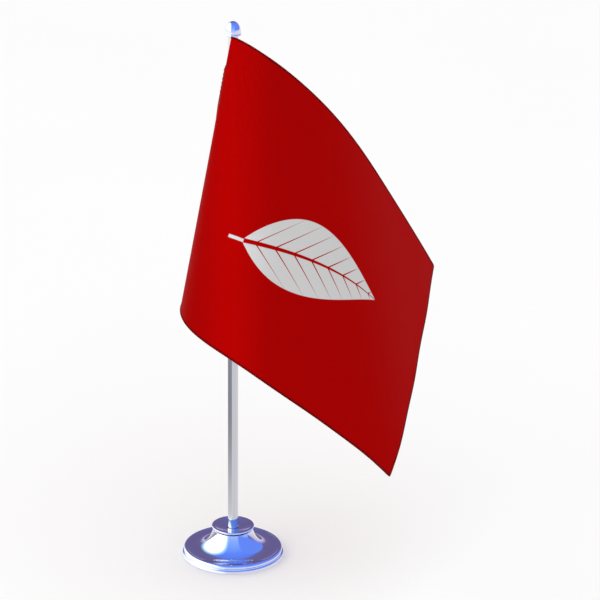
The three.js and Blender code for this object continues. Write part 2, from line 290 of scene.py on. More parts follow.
def bezier(points, count):
    """A cubic Bezier curve through count + 1 points."""
    t = np.linspace(0, 1, count + 1)[:, None]
    a, b, c, d = np.asarray(points, float)
    return (1 - t) ** 3 * a + 3 * (1 - t) ** 2 * t * b + 3 * (1 - t) * t**2 * c + t**3 * d


# ---- Node trees ----


class Nodes:
    """Adds nodes to a tree, with each input given as a value or as another node's output."""

    def __init__(self, tree):
        self.tree = tree
        tree.nodes.clear()

    def add(self, kind, inputs=None, output=0, **settings):
        """A new node's output. Inputs are keyed by name or place."""
        node = self.tree.nodes.new(kind)
        for key, value in settings.items():
            setattr(node, key, value)
        for key, value in (inputs or {}).items():
            socket = node.inputs[key]
            if isinstance(value, bpy.types.NodeSocket):
                self.tree.links.new(value, socket)
            else:
                socket.default_value = value
        return node.outputs[output] if node.outputs else None

    def math(self, operation, *values, clamp=False):
        """One step of arithmetic."""
        inputs = dict(enumerate(values))
        return self.add("ShaderNodeMath", inputs, operation=operation, use_clamp=clamp)

    def times(self, first, second):
        return self.math("MULTIPLY", first, second)

    def minus(self, first, second):
        return self.math("SUBTRACT", first, second)

    def scaled(self, value, scale, shift, clamp=False):
        return self.math("MULTIPLY_ADD", value, scale, shift, clamp=clamp)

    def smooth(self, value, low, high):
        """0 below low and 1 above high, with a smooth step between."""
        names = {"Value": value, "From Min": low, "From Max": high}
        return self.add("ShaderNodeMapRange", names, interpolation_type="SMOOTHSTEP")

    def mixed(self, share, first, second):
        """Two colours mixed."""
        inputs = {0: share, 6: first, 7: second}
        return self.add("ShaderNodeMix", inputs, 2, data_type="RGBA")

    def ramp(self, share, stops):
        """A colour ramp through (place, colour) stops."""
        colour = self.add("ShaderNodeValToRGB", {0: share})
        elements = colour.node.color_ramp.elements
        while len(elements) < len(stops):
            elements.new(0.5)
        for element, (place, stop) in zip(elements, stops):
            element.position = place
            element.color = (*stop, 1.0)
        return colour

    def noise(self, vector, scale, detail=3.0, output=0):
        """Smooth noise with this many lumps to the metre."""
        inputs = {"Vector": vector, "Scale": scale, "Detail": detail}
        return self.add("ShaderNodeTexNoise", inputs, output)

    def bump(self, height, distance, strength=1.0, normal=None):
        """A normal from a height, where 1 stands for a distance in metres."""
        inputs = {"Height": height, "Distance": distance, "Strength": strength}
        if normal is not None:
            inputs["Normal"] = normal
        return self.add("ShaderNodeBump", inputs)

    def shade(self, **inputs):
        """The surface shader and the tree's output."""
        named = {key.replace("_", " "): value for key, value in inputs.items()}
        shader = self.add("ShaderNodeBsdfPrincipled", named)
        self.add("ShaderNodeOutputMaterial", {"Surface": shader})


def new_material(name):
    """A material and the maker of its nodes, with the object's own coordinates."""
    made = bpy.data.materials.new(name)
    made.use_nodes = True
    nodes = Nodes(made.node_tree)
    return made, nodes, nodes.add("ShaderNodeTexCoord", output="Object")


def tinted(nodes, share, colour, low, high):
    """A colour that runs from low to high times itself."""
    dark, light = [tuple(c * k for c in colour) for k in (low, high)]
    return nodes.ramp(share, [(0.3, dark), (0.7, light)])


def plated(name, tint, haze, waviness):
    """Bright chromium plate: a faint waviness under it, light hazing, and fine handling marks."""
    made, nodes, place = new_material(name)
    cloud = nodes.noise(place, 90.0, 4.0)
    marks = nodes.add("ShaderNodeMapping", {"Vector": place, "Scale": (1.0, 1.0, 0.15)})
    scuffs = nodes.smooth(nodes.noise(marks, 2600.0, 2.0), 0.62, 0.8)
    roughness = nodes.scaled(cloud, haze, 0.018)
    roughness = nodes.scaled(scuffs, haze, roughness)
    wave = nodes.bump(nodes.noise(place, 70.0, 1.0), waviness)
    nodes.shade(
        Base_Color=tinted(nodes, cloud, tint, 0.985, 1.0),
        Metallic=1.0,
        Roughness=roughness,
        Normal=nodes.bump(scuffs, 2e-6, 0.3, wave),
    )
    return made


def zinc():
    """Dull zinc plate: blotchy passivation over a faintly pitted surface."""
    made, nodes, place = new_material("zinc_plate")
    blotch = nodes.noise(place, 500.0, 5.0)
    nodes.shade(
        Base_Color=tinted(nodes, blotch, (0.56, 0.57, 0.55), 0.82, 1.08),
        Metallic=1.0,
        Roughness=nodes.scaled(blotch, 0.3, 0.2),
        Normal=nodes.bump(nodes.noise(place, 4000.0), 2e-5, 0.4),
    )
    return made


def cast_iron():
    """Cast iron as it left the sand: coarse grain, with rust starting in patches."""
    made, nodes, place = new_material("cast_iron")
    grain = nodes.noise(place, 900.0, 6.0)
    rust = nodes.smooth(nodes.noise(place, 160.0, 5.0), 0.55, 0.75)
    iron = tinted(nodes, grain, (0.055, 0.056, 0.06), 0.7, 1.3)
    nodes.shade(
        Base_Color=nodes.mixed(nodes.times(rust, 0.5), iron, (0.09, 0.035, 0.016, 1)),
        Metallic=nodes.scaled(rust, -0.6, 0.8),
        Roughness=nodes.scaled(grain, 0.3, 0.5),
        Normal=nodes.bump(grain, 1.5e-4, 0.6),
    )
    return made


def moulded(name, colour, roughness, grain_size):
    """Moulded plastic with a fine spark-eroded grain and slight flow marks."""
    made, nodes, place = new_material(name)
    grain = nodes.noise(place, grain_size, 2.0)
    flow = nodes.noise(place, 60.0, 2.0)
    nodes.shade(
        Base_Color=tinted(nodes, flow, colour, 0.94, 1.06),
        Roughness=nodes.scaled(grain, 0.15, roughness),
        Normal=nodes.bump(grain, 2e-5, 0.5),
    )
    return made


def clear_rubber():
    """Soft clear rubber, a little cloudy inside and dusty outside."""
    made, nodes, place = new_material("clear_rubber")
    cloud = nodes.noise(place, 400.0, 3.0)
    nodes.shade(
        Base_Color=tinted(nodes, cloud, (0.8, 0.81, 0.82), 0.95, 1.03),
        Transmission_Weight=0.45,
        IOR=1.45,
        Roughness=nodes.scaled(cloud, 0.2, 0.25),
        Normal=nodes.bump(cloud, 3e-5, 0.4),
    )
    return made


def felt():
    """Pressed felt: matted fibres, with paler ones lying on top."""
    made, nodes, place = new_material("pressed_felt")
    fibres = nodes.add("ShaderNodeMapping", {"Vector": place, "Scale": (1.0, 1.0, 3.0)})
    mat = nodes.noise(fibres, 1800.0, 6.0)
    stray = nodes.smooth(nodes.noise(place, 5200.0, 2.0), 0.6, 0.72)
    dark = tinted(nodes, mat, (0.024, 0.026, 0.032), 0.6, 1.5)
    nodes.shade(
        Base_Color=nodes.mixed(nodes.times(stray, 0.35), dark, (0.12, 0.125, 0.14, 1)),
        Roughness=0.95,
        Specular_IOR_Level=0.15,
        Sheen_Weight=0.35,
        Sheen_Roughness=0.5,
        Normal=nodes.bump(mat, 2.5e-4, 0.9),
    )
    return made


LEAF_CENTRE = (117.0, 78.0)  # along the fly and down the hoist, in millimetres
LEAF_HALF = (50.0, 20.0)
LEAF_SLANT = math.radians(-13.5)


def leaf_mask(nodes, along, down):
    """1 inside the printed leaf and 0 outside. With p along it and q across it, as shares of its half
    length, the outline is |q - c(p)| < w(p), for a curved middle line c and a half width w that ends
    in points. The midrib and the side veins are unprinted lines that fade before the edge."""
    times, minus, scaled, smooth = nodes.times, nodes.minus, nodes.scaled, nodes.smooth
    x = minus(along, LEAF_CENTRE[0])
    y = minus(down, LEAF_CENTRE[1])
    cosine, sine = math.cos(LEAF_SLANT) / LEAF_HALF[0], math.sin(LEAF_SLANT) / LEAF_HALF[0]
    p = scaled(x, cosine, times(y, sine))
    q = scaled(y, cosine, times(x, -sine))
    t = scaled(p, 0.5, 0.5, clamp=True)
    rest = minus(1.0, t)
    arch = times(t, rest)
    middle = scaled(arch, -0.28, 0.03)
    offset = nodes.math("ABSOLUTE", minus(q, middle))
    fullness = scaled(t, -0.9, 1.45)
    slimness = 4 * LEAF_HALF[1] / LEAF_HALF[0]
    width = times(times(arch, fullness), slimness)
    edge = 0.4 / LEAF_HALF[0]
    inside = smooth(minus(width, offset), 0.0, edge)
    rib_width = scaled(rest, 0.022, 0.004)
    rib = smooth(minus(offset, rib_width), -edge / 2, edge / 2)
    lean = times(offset, 5.2)
    vein_place = minus(times(p, 4.2), lean)
    phase = nodes.math("ABSOLUTE", minus(nodes.math("FRACT", vein_place), 0.5))
    fade = nodes.math("DIVIDE", offset, nodes.math("MAXIMUM", width, 0.001))
    vein_width = scaled(fade, -0.05, 0.052)
    vein = smooth(minus(phase, vein_width), -0.012, 0.012)
    stalk_width = minus(0.022, nodes.math("ABSOLUTE", minus(q, 0.03)))
    stalk_reach = times(smooth(p, -1.16, -1.15), smooth(p, -0.97, -0.98))
    stalk = times(smooth(stalk_width, 0.0, edge), stalk_reach)
    leaf = times(inside, times(rib, vein))
    return nodes.math("MAXIMUM", leaf, stalk)


def flag_cloth(settings, pocket_length):
    """Satin polyester with the leaf printed through it: a fine weave, threads that vary a little in
    colour, and a dull face. The cloth's own map gives the place on the flat cloth."""
    made, nodes, place = new_material("flag_cloth")
    flat = nodes.add("ShaderNodeUVMap", uv_map="cloth")
    u, v = nodes.add("ShaderNodeSeparateXYZ", {0: flat}).node.outputs[:2]
    along = nodes.scaled(u, FLY + pocket_length, -pocket_length)
    down = nodes.scaled(v, -HOIST, HOIST)
    turn = 2 * math.pi / settings.weave_pitch
    warp = nodes.math("SINE", nodes.times(along, turn))
    weft = nodes.math("SINE", nodes.times(down, turn))
    weave = nodes.times(warp, weft)
    across = nodes.add("ShaderNodeMapping", {"Vector": flat, "Scale": (3.0, 260.0, 1.0)})
    slub = nodes.noise(across, 3.0, 4.0)
    red = tinted(nodes, slub, settings.cloth_red, 0.955, 1.035)
    grey = tinted(nodes, slub, settings.print_grey, 0.97, 1.02)
    soft = nodes.noise(place, 60.0, 2.0)
    creases = nodes.bump(soft, 2.5e-4, 0.5)
    nodes.shade(
        Base_Color=nodes.mixed(leaf_mask(nodes, along, down), red, grey),
        Roughness=nodes.scaled(weave, 0.04, 0.48),
        Specular_IOR_Level=0.008,
        Normal=nodes.bump(weave, 2.5e-5, 0.35, creases),
    )
    return made


def thread(name, colour):
    """Spun sewing thread, with its twist drawn across it."""
    made, nodes, place = new_material(name)
    fibre = nodes.noise(place, 4200.0, 3.0)
    nodes.shade(
        Base_Color=tinted(nodes, fibre, colour, 0.7, 1.15),
        Roughness=0.72,
        Specular_IOR_Level=0.03,
        Normal=nodes.bump(fibre, 4e-5, 0.6),
    )
    return made


def dress(piece, made, body, slot, *nodes):
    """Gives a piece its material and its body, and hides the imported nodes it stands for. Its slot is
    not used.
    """
    piece.data.materials.append(made)
    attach(piece, body)
    if nodes:
        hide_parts(*nodes)
    return piece


# ---- The base ----

BELL = ((27.15, 5.399), (21.95, 4.199), (15.0, 5.0), (11.6, 16.6))
BEAD_CENTRE, BEAD_RADIUS = (27.9, 4.1), 1.5
SHELL_WALL = 1.6
BORE_RADIUS = 27.6
CROWN_UNDERSIDE = 13.0
SPIGOT_RADIUS = 7.5
BOSS_RADIUS = 9.6


def shell_profile():
    """The base's section, as a closed loop: foot band, groove, bead, dish and bell, socket hole, and
    an underside that follows the bell one wall below it."""
    band = rounded([
        (BORE_RADIUS, 1.6, 0), (BORE_RADIUS, BASE_LIFT, 0.15), (BASE_RADIUS, BASE_LIFT, 0.45),
        (BASE_RADIUS, 2.3, 0.45), (28.9, 2.34, 0.12), (28.9, 2.72, 0),
    ])
    turn = np.radians(np.linspace(-52, 120, 41))
    bead = np.stack(
        [BEAD_CENTRE[0] + BEAD_RADIUS * np.cos(turn), BEAD_CENTRE[1] + BEAD_RADIUS * np.sin(turn)], -1
    )
    bell = bezier(BELL, 120)
    crown = rounded([
        (*bell[-2], 0), (BELL[-1][0], NECK_HEIGHT, 0.35),
        (SPIGOT_RADIUS + FIT_GAP, NECK_HEIGHT, 0.3), (SPIGOT_RADIUS + FIT_GAP, SPIGOT_BOTTOM, 0.2),
        (BOSS_RADIUS, SPIGOT_BOTTOM, 0.2), (BOSS_RADIUS, CROWN_UNDERSIDE, 0.4),
        (BOSS_RADIUS + 1.2, CROWN_UNDERSIDE, 0),
    ])
    slope = unit(np.gradient(bell, axis=0))
    under = bell + SHELL_WALL * np.stack([-slope[:, 1], slope[:, 0]], -1)
    under = under[(under[:, 0] < BORE_RADIUS - 0.05) & (under[:, 1] < CROWN_UNDERSIDE - 0.1)][::-1]
    under = under[under[:, 0] > BOSS_RADIUS + 1.3]
    wall_top = under[-1] * [0, 1] + [BORE_RADIUS, 0]
    return np.concatenate([band, bead, bell[1:-1], crown[1:], under, wall_top[None], band[:1]])


STEM_RADIUS, STEM_BOTTOM = 10.8, NECK_HEIGHT + FIT_GAP
STEM_TOP, LIP_FOOT = 17.4, 17.95


def cup_profile():
    """The cup's section: spigot, flange, rolled lip, a dish that falls to the pole, and its bore."""
    slip = POLE_RADIUS + FIT_GAP
    inwards = np.linspace(0, 1, 25)[1:-1]
    dish_edge, floor = CUP_RADIUS - 1.75, CUP_TOP - 1.5
    dish = np.stack(
        [
            dish_edge + (slip + 0.25 - dish_edge) * inwards,
            CUP_TOP - 0.12 + (floor - CUP_TOP + 0.12) * np.sin(inwards * math.pi / 2),
        ],
        -1,
    )
    outside = rounded(
        [
            (SPIGOT_RADIUS, SPIGOT_BOTTOM + 2, 0), (SPIGOT_RADIUS, STEM_BOTTOM, 0.15),
            (STEM_RADIUS, STEM_BOTTOM, 0.15), (STEM_RADIUS, STEM_TOP, 0.2), (CUP_RADIUS, LIP_FOOT, 0.5),
            (CUP_RADIUS, CUP_TOP, 0.5), (dish_edge + 0.2, CUP_TOP, 0.3), tuple(dish[2]) + (0,),
        ],
        10,
    )
    inside = rounded([
        (*dish[-1], 0), (slip, floor, 0.2), (slip, SPIGOT_BOTTOM + 1.6, 0.1),
        (STUD_HOLE, SPIGOT_BOTTOM + 1.6, 0.1), (STUD_HOLE, SPIGOT_BOTTOM, 0.1),
        (SPIGOT_RADIUS, SPIGOT_BOTTOM, 0.4), (SPIGOT_RADIUS, SPIGOT_BOTTOM + 2, 0),
    ])
    return np.concatenate([outside, dish[3:-1], inside])


class FLAGSTAND_OT_base(bpy.types.Operator):
    """Makes the chromed base, its cup, the cover under it and the felt pad."""

    bl_idname = "flagstand.base"
    bl_label = "Base"

    def execute(self, context):
        metal = context.scene.flag_stand_metal
        chrome = plated("base_chrome", metal.base_tint, 0.05, 2.2e-4)
        shell = turned("base_bell", shell_profile(), metal.segments, 0.8, 50)
        dress(shell, chrome, "stand", "base_chrome", "base_shell")
        cup = turned("pole_cup", cup_profile(), metal.segments, 0.6, 50)
        dress(cup, chrome, "stand", "base_chrome", "socket_cup")
        pad_profile = rounded([
            (0, PAD_BOTTOM, 0), (PAD_RADIUS, PAD_BOTTOM, 0.25), (PAD_RADIUS, PAD_TOP, 0.25),
            (0, PAD_TOP, 0),
        ])
        pad = turned("felt_pad", pad_profile, metal.segments)
        dress(pad, felt(), "stand", "felt", "foot_pad")
        cover_profile = rounded([
            (0, COVER_BOTTOM, 0), (COVER_RADIUS - 0.6, COVER_BOTTOM, 0.2),
            (COVER_RADIUS, COVER_BOTTOM + 0.6, 0.2), (COVER_RADIUS, COVER_TOP, 0.1),
            (0, COVER_TOP, 0),
        ])
        cover = turned("cover_disc", cover_profile, metal.segments)
        plastic = moulded("black_plastic", (0.013, 0.013, 0.014), 0.45, 5200.0)
        dress(cover, plastic, "stand", "black_plastic", "base_cover")
        return {"FINISHED"}


# ---- The fastening inside the base ----


def threaded_stud(name, pitch, segments):
    """The stud: on its threaded length the radius falls from crest to root and back once a pitch, at
    a height that climbs one pitch for each turn, r(a, z) = crest - depth * |saw(z / pitch - a / 2 pi)|;
    above it is the plain grip. The ends are domed."""
    steps = np.linspace(STUD_BOTTOM, POLE_BOTTOM, 220)
    grip = np.array([POLE_BOTTOM + 0.02, STUD_TOP - 0.5])
    angle = np.linspace(0, 2 * math.pi, segments + 1)
    saw = np.abs((steps[:, None] / pitch - angle / (2 * math.pi)) % 1.0 - 0.5) * 2
    lead = np.clip((steps - STUD_BOTTOM) / 0.5, 0, 1)[:, None]
    radius = THREAD_RADIUS - 0.42 * saw - 0.4 * (1 - lead)
    plain = np.full((2, segments + 1), STUD_RADIUS)
    cap = np.array([[STUD_RADIUS - 0.5], [0.0]]) + 0 * angle
    radius = np.concatenate([0 * radius[:1], radius, plain, cap])
    height = np.concatenate([steps[:1], steps, grip, [STUD_TOP, STUD_TOP]])[:, None] + 0 * angle
    return surface(name, carried_round(radius, angle, height), 50)


def nut_blank(name):
    """The nut: a hexagon whose radius at angle a is (half across flats) / cos(a from the nearest flat),
    cut at both faces by a cone, so that its corners are chamfered in arcs."""
    angle = np.linspace(0, 2 * math.pi, 145)
    from_flat = (angle % (math.pi / 3)) - math.pi / 6
    half_flats = NUT_CORNER * math.cos(math.pi / 6)
    hexagon = half_flats / np.cos(from_flat)
    height = np.linspace(0, 1, 17)
    end = np.minimum(height, 1 - height)[:, None] * (NUT_TOP - NUT_BOTTOM)
    side = np.minimum(hexagon, half_flats * 0.97 + end * 1.9)
    levels = (NUT_BOTTOM + height * (NUT_TOP - NUT_BOTTOM))[:, None] + 0 * angle
    ring = np.full((1, 145), STUD_HOLE)
    radius = np.concatenate([ring, ring + 0.25, side, ring + 0.25, ring, ring])
    low, high = levels[:1], levels[-1:]
    height = np.concatenate([low + 0.25, low, levels, high, high - 0.25, low + 0.25])
    return surface(name, carried_round(radius, angle, height), 30)


CLIMB = 0.08  # how far each end of the spring washer stands from its middle
SLIT = 0.13  # half of the angle its slit takes up


def split_ring(name):
    """The spring washer: a square section carried round one turn less its slit, climbing a little, so
    that the two ends stand apart; the ends are closed."""
    angle = np.linspace(SLIT, 2 * math.pi - SLIT, 97)
    climb = (angle - math.pi) / math.pi * CLIMB
    thickness = SPRING_WASHER_TOP - SPRING_WASHER_BOTTOM
    section = ring_section(STUD_HOLE, SPRING_WASHER_RADIUS, CLIMB, thickness - CLIMB, (0.12,) * 4, 3)
    height = SPRING_WASHER_BOTTOM + section[:, 1] + climb[:, None]
    return surface(name, capped(polar(section[:, 0], angle[:, None], height)), 50)


class FLAGSTAND_OT_fastening(bpy.types.Operator):
    """Makes the threaded stud, nut and washers that hold the pole, and finishes the weight."""

    bl_idname = "flagstand.fastening"
    bl_label = "Fastening"

    def execute(self, context):
        metal = context.scene.flag_stand_metal
        plate = zinc()
        stud = threaded_stud("threaded_stud", metal.thread_pitch, 48)
        dress(stud, plate, "stand", "zinc_plate", "pole_stud")
        nut = nut_blank("clamp_nut")
        dress(nut, plate, "stand", "zinc_plate", "hex_nut")
        spring = split_ring("spring_washer")
        dress(spring, plate, "stand", "zinc_plate", "lock_washer")
        washer_profile = ring_section(
            STUD_HOLE, FLAT_WASHER_RADIUS, FLAT_WASHER_BOTTOM, FLAT_WASHER_TOP, (0.05, 0.05, 0.2, 0.1), 4
        )
        washer = turned("flat_washer", washer_profile, 72)
        dress(washer, plate, "stand", "zinc_plate", "clamp_washer")
        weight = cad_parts["weight_disc"]
        weight.data.materials.clear()
        weight.data.materials.append(cast_iron())
        return {"FINISHED"}


# ---- The pole and its finial ----


class FLAGSTAND_OT_pole(bpy.types.Operator):
    """Makes the plated tube and the rubber ring that the flag's pocket stands on."""

    bl_idname = "flagstand.pole"
    bl_label = "Pole"

    def execute(self, context):
        metal = context.scene.flag_stand_metal
        bore = POLE_RADIUS - POLE_WALL
        tube_profile = ring_section(
            bore, POLE_RADIUS, POLE_BOTTOM, POLE_TOP, (0.12, 0.12, 0.2, 0.15), 4
        )
        tube = turned("pole", tube_profile, 96, 6.0)
        chrome = plated("pole_chrome", metal.pole_tint, 0.07, 1.0e-4)
        dress(tube, chrome, "stand", "pole_chrome", "pole_tube")
        slip = POLE_RADIUS + FIT_GAP
        ring_profile = ring_section(slip, STOP_RADIUS, STOP_BOTTOM, STOP_TOP, (0.3, 0.55, 0.55, 0.3), 6)
        ring = turned("stop_ring", ring_profile, 72)
        dress(ring, clear_rubber(), "stand", "clear_rubber", "sleeve_stop_ring")
        return {"FINISHED"}


FLUTE_DEPTH = 0.22


def finial_profile():
    """The finial's section: a blind bore, a flared skirt, a waist and a domed top."""
    slip = POLE_RADIUS + FIT_GAP
    side = slip + FINIAL_WALL
    bottom = FINIAL_BOTTOM
    skirt = rounded([
        (0, bottom + 5, 0), (slip, bottom + 5, 0.3), (slip, bottom, 0.1),
        (FINIAL_RADIUS, bottom, 0.22), (FINIAL_RADIUS, bottom + 0.6, 0.25),
        (side + 0.07, bottom + 1.1, 0.5), (side, bottom + 1.6, 0),
    ])
    turn = np.linspace(0, math.pi / 2, 41)
    shoulder = bottom + FINIAL_SHOULDER
    rise = FINIAL_TOP - shoulder
    dome = np.stack([side * np.cos(turn), shoulder + rise * np.sin(turn)], -1)
    dome[-1, 0] = 0
    return np.concatenate([skirt, dome])


class FLAGSTAND_OT_finial(bpy.types.Operator):
    """Makes the pull-off finial and the nylon plug that grips the tube."""

    bl_idname = "flagstand.finial"
    bl_label = "Finial"

    def execute(self, context):
        metal = context.scene.flag_stand_metal
        cap = turned("finial", finial_profile(), metal.segments, 0.4, 50)
        chrome = plated("finial_chrome", metal.base_tint, 0.05, 0.8e-4)
        dress(cap, chrome, "finial", "base_chrome", "finial_cap")
        pin = POLE_RADIUS - POLE_WALL - FIT_GAP
        head_bottom = POLE_TOP + FIT_GAP
        angle = np.linspace(0, 2 * math.pi, 73)
        plug_profile = filled_in(
            rounded(
                [
                    (0, PLUG_BOTTOM, 0), (pin - 0.5, PLUG_BOTTOM, 0.1), (pin, PLUG_BOTTOM + 0.5, 0.2),
                    (pin, head_bottom, 0.1), (PLUG_RADIUS, head_bottom, 0.15),
                    (PLUG_RADIUS, PLUG_TOP, 0.2), (0, PLUG_TOP, 0),
                ],
                4,
            ),
            0.5,
        )
        radius, height = plug_profile[:, :1], plug_profile[:, 1:]
        on_pin = (height > PLUG_BOTTOM + 0.8) & (height < head_bottom - 0.4)
        radius = radius + on_pin * FLUTE_DEPTH * np.clip(np.cos(6 * angle) * 3, -1, 0)
        plug = surface("grip_plug", carried_round(radius, angle, height), 35)
        nylon = moulded("nylon", (0.78, 0.76, 0.7), 0.4, 2600.0)
        dress(plug, nylon, "finial", "nylon", "finial_plug")
        return {"FINISHED"}


# ---- The flag ----


def read(where, places, values):
    """Each column of values, which stand at these places, read by straight lines."""
    return np.stack([np.interp(where, places, column) for column in values.T], -1)


def read_evenly(values, share):
    """Values at even steps, read by straight lines at shares from 0 to 1."""
    values = np.asarray(values, float)
    places = np.linspace(0, 1, len(values))
    share = np.clip(share, 0, 1)
    return np.interp(share, places, values) if values.ndim == 1 else read(share, places, values)


def turn_about(vector, axis, angle):
    """A vector turned about a unit axis, by Rodrigues' formula."""
    cosine, sine = math.cos(angle), math.sin(angle)
    return vector * cosine + np.cross(axis, vector) * sine + axis * (axis @ vector) * (1 - cosine)


def hang_cloth():
    """The cone's rulings, from straight down the hoist to the last one, and the curve that follows.
    At each step the across direction turns about the ruling by the bend, then both tip along."""
    ruling = np.array([0.0, 0.0, -1.0])
    across = np.array([math.cos(START_HEADING), math.sin(START_HEADING), 0.0])
    rulings = [ruling]
    step = CONE_ANGLE / DRAPE_STEPS
    middles = (np.arange(DRAPE_STEPS) + 0.5) / DRAPE_STEPS
    for bend in read_evenly(CONE_BENDS, middles):
        across = turn_about(across, ruling, -bend * step)
        ruling, across = (
            ruling * math.cos(step) + across * math.sin(step),
            across * math.cos(step) - ruling * math.sin(step),
        )
        rulings.append(ruling)
    sweep_length = FLY * math.cos(CONE_ANGLE)
    stride = sweep_length / DRAPE_STEPS
    bend = np.cumsum(read_evenly(SWEEP_BENDS, middles) * stride)[:, None]
    sideways = np.cross(ruling, across)
    moves = stride * (np.cos(bend) * across - np.sin(bend) * sideways)
    sweep = np.concatenate([np.zeros((1, 3)), np.cumsum(moves, axis=0)])
    return np.array(rulings), sweep, sweep_length


def hung_point(hang, along, down):
    """Where points of the flat cloth hang. Within the cone angle of the hoist a point lies on its
    ruling, at its own distance from the apex. Past it, it lies on the sweep at the distance across
    the last ruling, and that far down along it. The top edge then gives upwards a little."""
    rulings, sweep, sweep_length = hang
    below = down + APEX_ABOVE
    angle = np.arctan2(along, below)
    cone = read_evenly(rulings, angle / CONE_ANGLE)
    cone = unit(cone) * np.hypot(along, below)[..., None]
    cosine, sine = math.cos(CONE_ANGLE), math.sin(CONE_ANGLE)
    swept = read_evenly(sweep, (along * cosine - below * sine) / sweep_length)
    swept = swept + rulings[-1] * (along * sine + below * cosine)[..., None]
    points = np.where((angle <= CONE_ANGLE)[..., None], cone, swept)
    crown_place = np.maximum(along / FLY, 0) ** CROWN_SKEW
    points[..., 2] += CROWN * np.sin(math.pi * crown_place) * np.exp(-down / CROWN_DEPTH)
    return points + np.array([0.0, -STAND_OFF, HOIST_TOP + APEX_ABOVE])


def hung_normal(hang, along, down, reach=0.4):
    """The hung cloth's normal, from how it moves for small steps on the flat cloth."""
    after = hung_point(hang, np.minimum(along + reach, FLY), down)
    before = hung_point(hang, np.maximum(along - reach, 0), down)
    under = hung_point(hang, along, np.minimum(down + reach, HOIST))
    above = hung_point(hang, along, np.maximum(down - reach, 0))
    return unit(np.cross(after - before, under - above))


def ease(share):
    """A smooth step from 0 to 1."""
    share = np.clip(share, 0, 1)
    return share * share * (3 - 2 * share)


SEAM_ALLOWANCE = 3.6
SEAM_DRAW = math.tan(math.radians(13.5))
CORNER_REACH = 6.0
POCKET_RADIUS = POLE_RADIUS + 1.1
ARC_COLUMNS, LINE_COLUMNS, TAIL_COLUMNS = 44, 10, 9


def seam_along(down, seam_distance):
    """How far along the cloth the pocket's seam runs, drawn in towards the top corner, where the
    cloth rolls tightly."""
    return np.minimum(seam_distance, (down + APEX_ABOVE) * SEAM_DRAW)


def pocket_points(hang, down, settings):
    """The pocket round the pole, for each height: from the cloth's start round the pole's far side at
    radius r(a), straight from the circle to the seam, and along the cloth as the seam allowance. The
    radius starts where the cloth starts and settles to the pocket's by a cubic in the angle."""
    seam = seam_along(down, settings.seam_distance)[:, None]
    layer = settings.thickness / MM + 0.06
    tail = seam + SEAM_ALLOWANCE * seam / settings.seam_distance * np.linspace(0, 1, TAIL_COLUMNS)
    rows = down[:, None] + 0 * tail
    tail_points = hung_point(hang, tail, rows) - layer * hung_normal(hang, tail, rows)
    meeting = tail_points[:, 0]
    distance = np.hypot(meeting[:, 0], meeting[:, 1])
    heading = np.arctan2(meeting[:, 1], meeting[:, 0]) % (2 * math.pi)
    leave = heading - np.arccos(np.clip(POCKET_RADIUS / distance, 0, 1))
    start = -math.pi / 2
    share = np.linspace(0, 1, ARC_COLUMNS)
    angle = start + (leave[:, None] - start) * share
    settled = np.clip((angle - start) / math.radians(75), 0, 1)
    gap = STAND_OFF - POCKET_RADIUS
    slope = STAND_OFF * math.tan(math.pi - START_HEADING) * math.radians(75)
    radius = POCKET_RADIUS + gap * (1 - ease(settled)) + slope * settled * (1 - settled) ** 2
    radius = radius + 0.05 * np.sin(down / 6.3)[:, None] * np.sin(angle * 2 + down[:, None] / 17)
    arc = polar(radius, angle, (HOIST_TOP - down)[:, None])
    share = np.linspace(0, 1, LINE_COLUMNS + 2)[1:-1, None]
    line = arc[:, -1:] * (1 - share) + meeting[:, None] * share
    return np.concatenate([arc[:, 1:], line, tail_points], axis=1)[:, ::-1]


def cut_away(pocket, down, reach):
    """The pocket with its top corner cut off: a column that starts a distance s back from the panel
    begins drop * ease(s / 6 mm) down, and its points are spread evenly below that. Also gives how
    far down each point is."""
    tops = POCKET_DROP * ease(reach / CORNER_REACH)
    lower = tops + (HOIST - tops) * (down / HOIST)[:, None]
    columns = [read(lower[:, c], down, pocket[:, c]) for c in range(len(reach))]
    return np.stack(columns, 1), lower


def cloth_relief(along, down):
    """How far the cloth stands off its plain shape: faint pulls that fan out from the top corner and
    slack along the bottom edge, in millimetres."""
    fan = np.arctan2(along, down + APEX_ABOVE)
    pulls = 0.16 * np.sin(fan * 46) * np.exp(-((np.hypot(along, down) - 45) / 40) ** 2)
    slack = 0.22 * np.sin(along / 8.5 + 0.6 * np.sin(along / 31)) * np.exp((down - HOIST) / 9)
    fly = 0.2 * np.sin(down / 7.5) * np.exp((along - FLY) / 8)
    return (pulls + slack + fly) * ease(along / 14)


OVERLOCK_PITCH = 1.05


def border_path(count):
    """The three free edges of the flat cloth, top, fly and bottom, with rounded corners, as even
    steps: (along, down) and the direction of travel."""
    corners = rounded([(1.2, 0.0, 0), (FLY, 0.0, 1.6), (FLY, HOIST, 1.6), (1.2, HOIST, 0)], 8)
    lengths = np.concatenate([[0], np.cumsum(np.linalg.norm(np.diff(corners, axis=0), axis=1))])
    reach = np.linspace(0, lengths[-1], count)
    return read(reach, lengths, corners), reach


